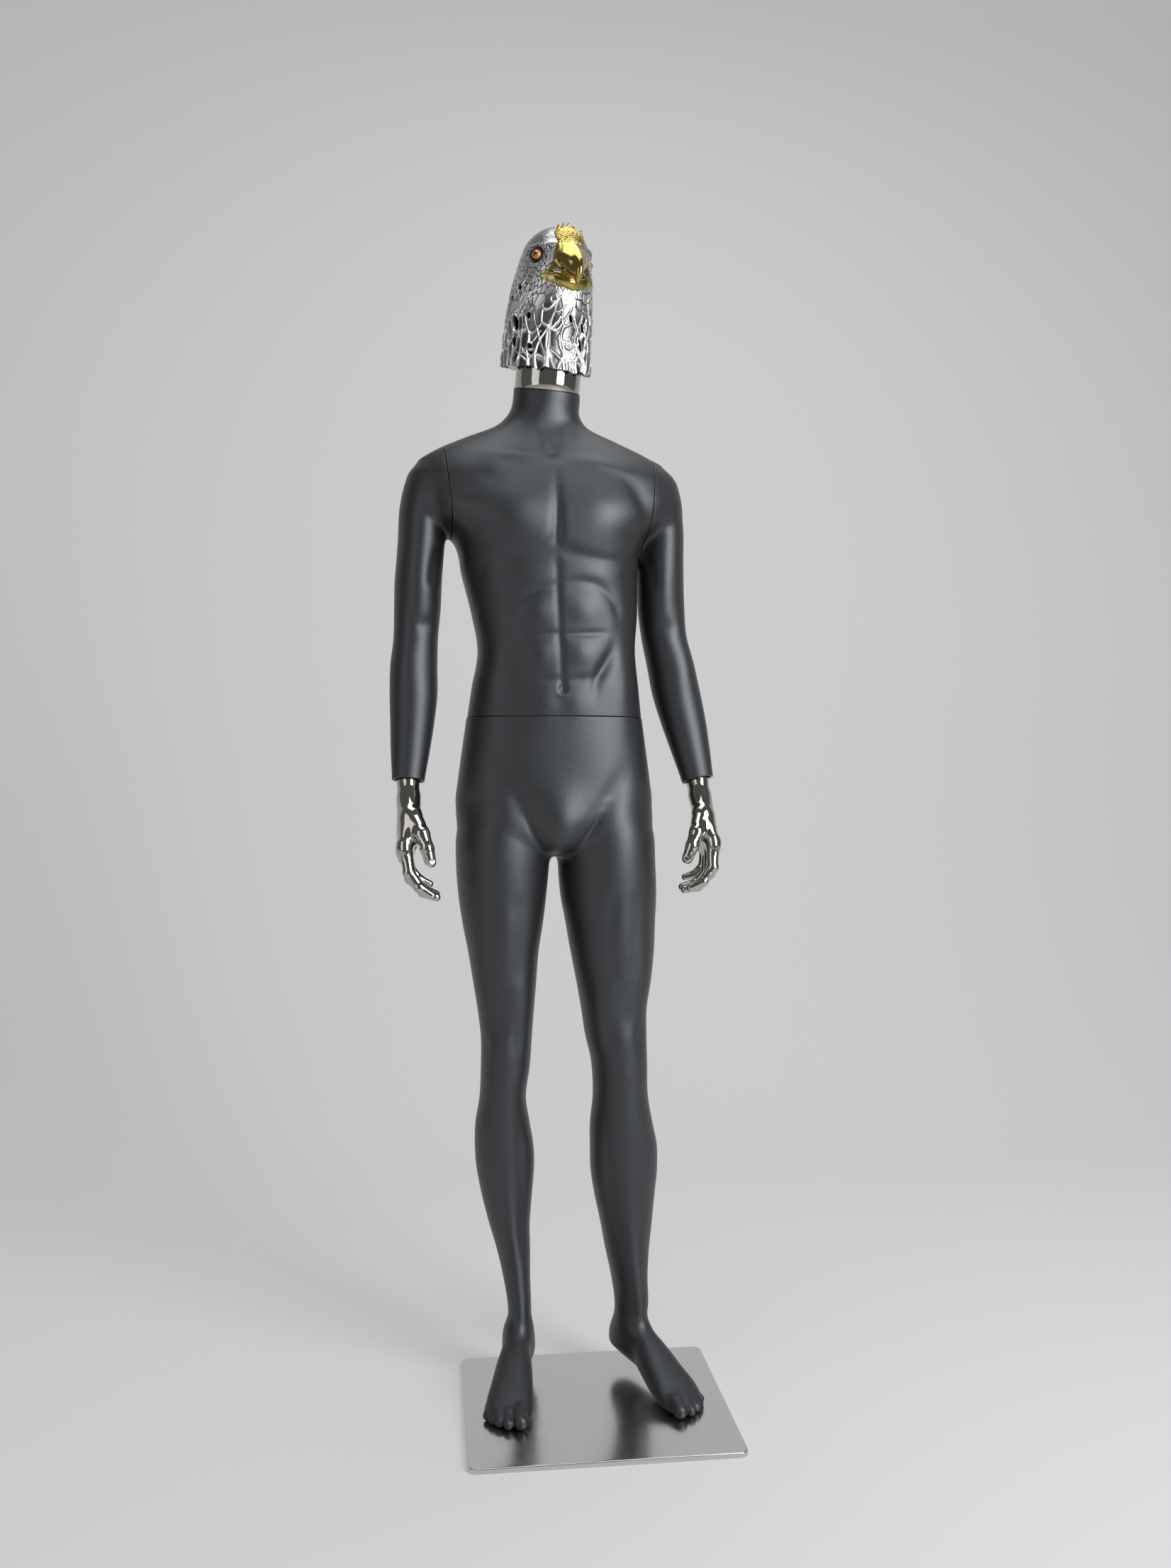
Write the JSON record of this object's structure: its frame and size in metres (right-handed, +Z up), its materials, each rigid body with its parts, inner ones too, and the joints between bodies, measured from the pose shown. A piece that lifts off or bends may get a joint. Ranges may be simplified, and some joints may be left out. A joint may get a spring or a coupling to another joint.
{
  "type": "full body mannequin",
  "caption": "Full body male display mannequin in dark satin fibreglass, with chrome hands and neck and a pierced chrome eagle head with a gold beak, on a flat steel base plate.",
  "frame": {"origin": "centre of the base plate's underside, on the floor", "axes": "+Z up; the figure faces -Y; its right hand is towards -X"},
  "size_m": [0.5246, 0.36, 1.856],
  "materials": {
    "body_coat": "satin sprayed coat over fibreglass",
    "chrome": "mirror chrome",
    "gold": "polished gold plate",
    "amber": "polished",
    "base_steel": "fine brushed, bevelled edge",
    "fitting_steel": "turned",
    "timber": "raw",
    "rubber": "matte",
    "nylon": "natural"
  },
  "bodies": {
    "stand_and_legs": {"base_plate": "base_steel", "base_underlay": "rubber", "support_rod": "base_steel", "rod_screw": "fitting_steel", "foot_socket": "fitting_steel", "foot_set_screw": "fitting_steel", "lower_body_shell": "body_coat", "lower_waist_block": "timber", "waist_socket": "fitting_steel", "waist_socket_screws": "fitting_steel", "waist_washer": "nylon"},
    "torso": {"torso_shell": "body_coat", "upper_waist_block": "timber", "waist_flange": "fitting_steel", "waist_flange_screws": "fitting_steel", "waist_stud": "fitting_steel", "waist_lock_pin": "fitting_steel", "right_shoulder_block": "timber", "right_shoulder_socket": "fitting_steel", "right_shoulder_screws": "fitting_steel", "left_shoulder_block": "timber", "left_shoulder_socket": "fitting_steel", "left_shoulder_screws": "fitting_steel", "neck_block": "timber", "neck_socket": "fitting_steel", "neck_screws": "fitting_steel"},
    "right_arm": {"right_arm_shell": "body_coat", "right_arm_block": "timber", "right_arm_stud": "fitting_steel", "right_arm_screws": "fitting_steel", "right_wrist_socket": "fitting_steel"},
    "left_arm": {"left_arm_shell": "body_coat", "left_arm_block": "timber", "left_arm_stud": "fitting_steel", "left_arm_screws": "fitting_steel", "left_wrist_socket": "fitting_steel"},
    "right_hand": {"right_hand": "chrome", "right_wrist_stud": "fitting_steel"},
    "left_hand": {"left_hand": "chrome", "left_wrist_stud": "fitting_steel"},
    "head": {"neck_tube": "chrome", "neck_stud": "fitting_steel", "head_disc": "fitting_steel", "head_shell": "chrome", "upper_beak": "gold", "lower_beak": "gold", "right_eye": "amber", "left_eye": "amber"}
  },
  "joints": [
    {"name": "waist_turn", "type": "hinge", "parent": "stand_and_legs", "child": "torso", "pos_m": [-0.059, 0.052, 1.085], "axis": [0, 0, 1], "range_deg": [0, 40]},
    {"name": "head_turn", "type": "hinge", "parent": "torso", "child": "head", "pos_m": [-0.071, 0.047, 1.606], "axis": [0.0677, -0.2419, 0.9679], "range_deg": [-35, 30]},
    {"name": "right_shoulder_turn", "type": "hinge", "parent": "torso", "child": "right_arm", "pos_m": [-0.23178, 0.04957, 1.444], "axis": [-0.9932, -0.052, -0.1045], "range_deg": [-15, 60]},
    {"name": "left_shoulder_turn", "type": "hinge", "parent": "torso", "child": "left_arm", "pos_m": [0.08978, 0.06643, 1.444], "axis": [-0.9932, -0.052, 0.1045], "range_deg": [-15, 60]},
    {"name": "right_wrist_turn", "type": "hinge", "parent": "right_arm", "child": "right_hand", "pos_m": [-0.29, 0.02, 0.985], "axis": [0.0682, 0.2079, 0.9758], "range_deg": [-45, 45]},
    {"name": "left_wrist_turn", "type": "hinge", "parent": "left_arm", "child": "left_hand", "pos_m": [0.175, 0.054, 0.986], "axis": [-0.2034, 0.2079, 0.9568], "range_deg": [-45, 45]}
  ]
}
